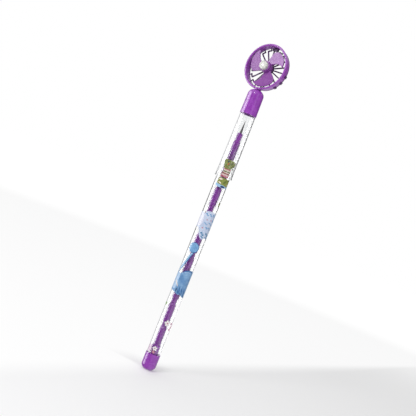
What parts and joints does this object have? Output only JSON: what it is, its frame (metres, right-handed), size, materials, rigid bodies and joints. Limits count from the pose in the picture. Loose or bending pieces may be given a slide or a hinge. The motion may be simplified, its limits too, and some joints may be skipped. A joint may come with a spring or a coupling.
{
  "type": "stacking-point pencil with fan topper",
  "caption": "Slim clear-barrelled pencil holding a stack of push-through points, with a clear cap and a swivelling wind-spun fan in a guard ring on top.",
  "frame": {"origin": "centre of the end plug's rounded bottom, on the pencil's axis", "axes": "+Z along the pencil from the end plug to the fan; -Y is the way the fan's front faces; +X to the right seen from the fan's front"},
  "size_m": [0.027, 0.01, 0.1957],
  "materials": {
    "clear_barrel": "clear moulded polystyrene, polished",
    "clear_cap": "clear moulded polystyrene, polished",
    "purple_trim": "smooth moulded, semi-gloss",
    "purple_point": "smooth moulded, semi-gloss",
    "purple_fan": "smooth moulded, semi-gloss",
    "purple_grille": "smooth moulded, semi-gloss",
    "purple_blade": "thin moulded blade, slightly translucent",
    "pale_cap": "pale grey moulded",
    "white_nylon": "natural nylon",
    "axle_steel": "plain drawn wire",
    "graphite": "fired graphite and clay, slight sheen",
    "print_ink": "thin transfer-printed ink on the barrel"
  },
  "bodies": {
    "barrel": {"barrel_tube": "clear_barrel"},
    "plug": {"end_plug": "purple_trim"},
    "stack": {"point_shell_1": "purple_point", "point_shell_2": "purple_point", "point_shell_3": "purple_point", "point_shell_4": "purple_point", "point_shell_5": "purple_point", "point_shell_6": "purple_point", "point_shell_7": "purple_point", "point_shell_8": "purple_point", "lead_1": "graphite", "lead_2": "graphite", "lead_3": "graphite", "lead_4": "graphite", "lead_5": "graphite", "lead_6": "graphite", "lead_7": "graphite", "lead_8": "graphite"},
    "front_point": {"point_shell_9": "purple_point", "lead_9": "graphite"},
    "cap": {"cap_sleeve": "clear_cap", "cap_dome": "purple_trim"},
    "topper": {"guard_ring": "purple_fan", "swivel_clip": "white_nylon", "rear_grille": "purple_grille", "axle_pin": "axle_steel", "thrust_washer": "white_nylon", "axle_clip": "axle_steel"},
    "fan": {"impeller": "purple_blade", "hub_cap": "pale_cap"}
  },
  "joints": [
    {"name": "cap_off", "type": "slide", "parent": "barrel", "child": "cap", "axis": [0, 0, 1], "range_m": [0, 0.07]},
    {"name": "topper_swivel", "type": "hinge", "parent": "cap", "child": "topper", "pos_m": [0, 0, 0.1684], "axis": [0, 0, 1], "continuous": true},
    {"name": "fan_spin", "type": "hinge", "parent": "topper", "child": "fan", "pos_m": [0, 0, 0.1822], "axis": [0, 1, 0], "continuous": true},
    {"name": "stack_feed", "type": "slide", "parent": "barrel", "child": "stack", "axis": [0, 0, 1], "range_m": [0, 0.014]},
    {"name": "front_point_pull", "type": "slide", "parent": "stack", "child": "front_point", "axis": [0, 0, 1], "range_m": [0, 0.035]},
    {"name": "end_plug_pull", "type": "slide", "parent": "barrel", "child": "plug", "axis": [0, 0, -1], "range_m": [0, 0.008]}
  ],
  "couplings": [
    {"joint": "front_point_pull", "follows": "cap_off", "ratio": 0.5}
  ]
}
